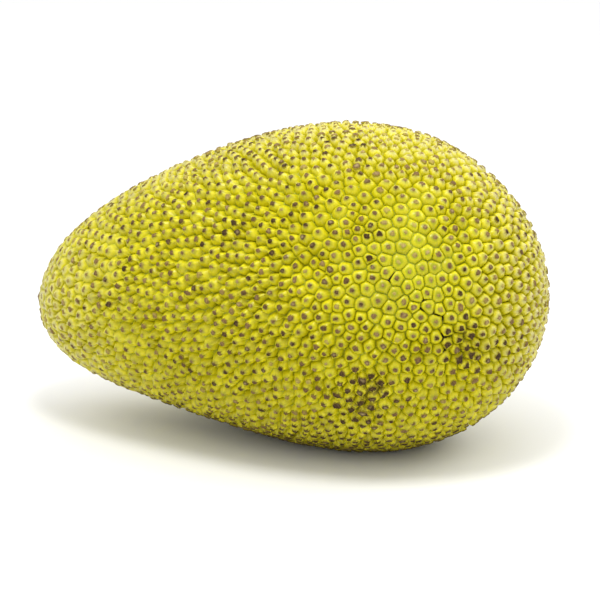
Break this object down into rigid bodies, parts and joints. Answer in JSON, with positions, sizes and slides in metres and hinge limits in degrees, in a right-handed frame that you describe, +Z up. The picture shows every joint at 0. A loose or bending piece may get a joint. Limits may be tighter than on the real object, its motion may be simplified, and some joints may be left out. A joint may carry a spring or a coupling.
{
  "type": "whole jackfruit",
  "caption": "Whole ripe jackfruit, egg-shaped and knobbly, lying on its side on a small flat resting spot.",
  "frame": {"origin": "middle of the small flat spot that the fruit rests on, on the supporting surface", "axes": "+Z up, +X along the fruit towards its blunt end, with the narrow stalk end towards -X and one flank towards -Y"},
  "size_m": [0.3587, 0.2222, 0.2165],
  "materials": {
    "rind": "satin"
  },
  "bodies": {
    "root": {"fruit": "rind"}
  },
  "joints": []
}
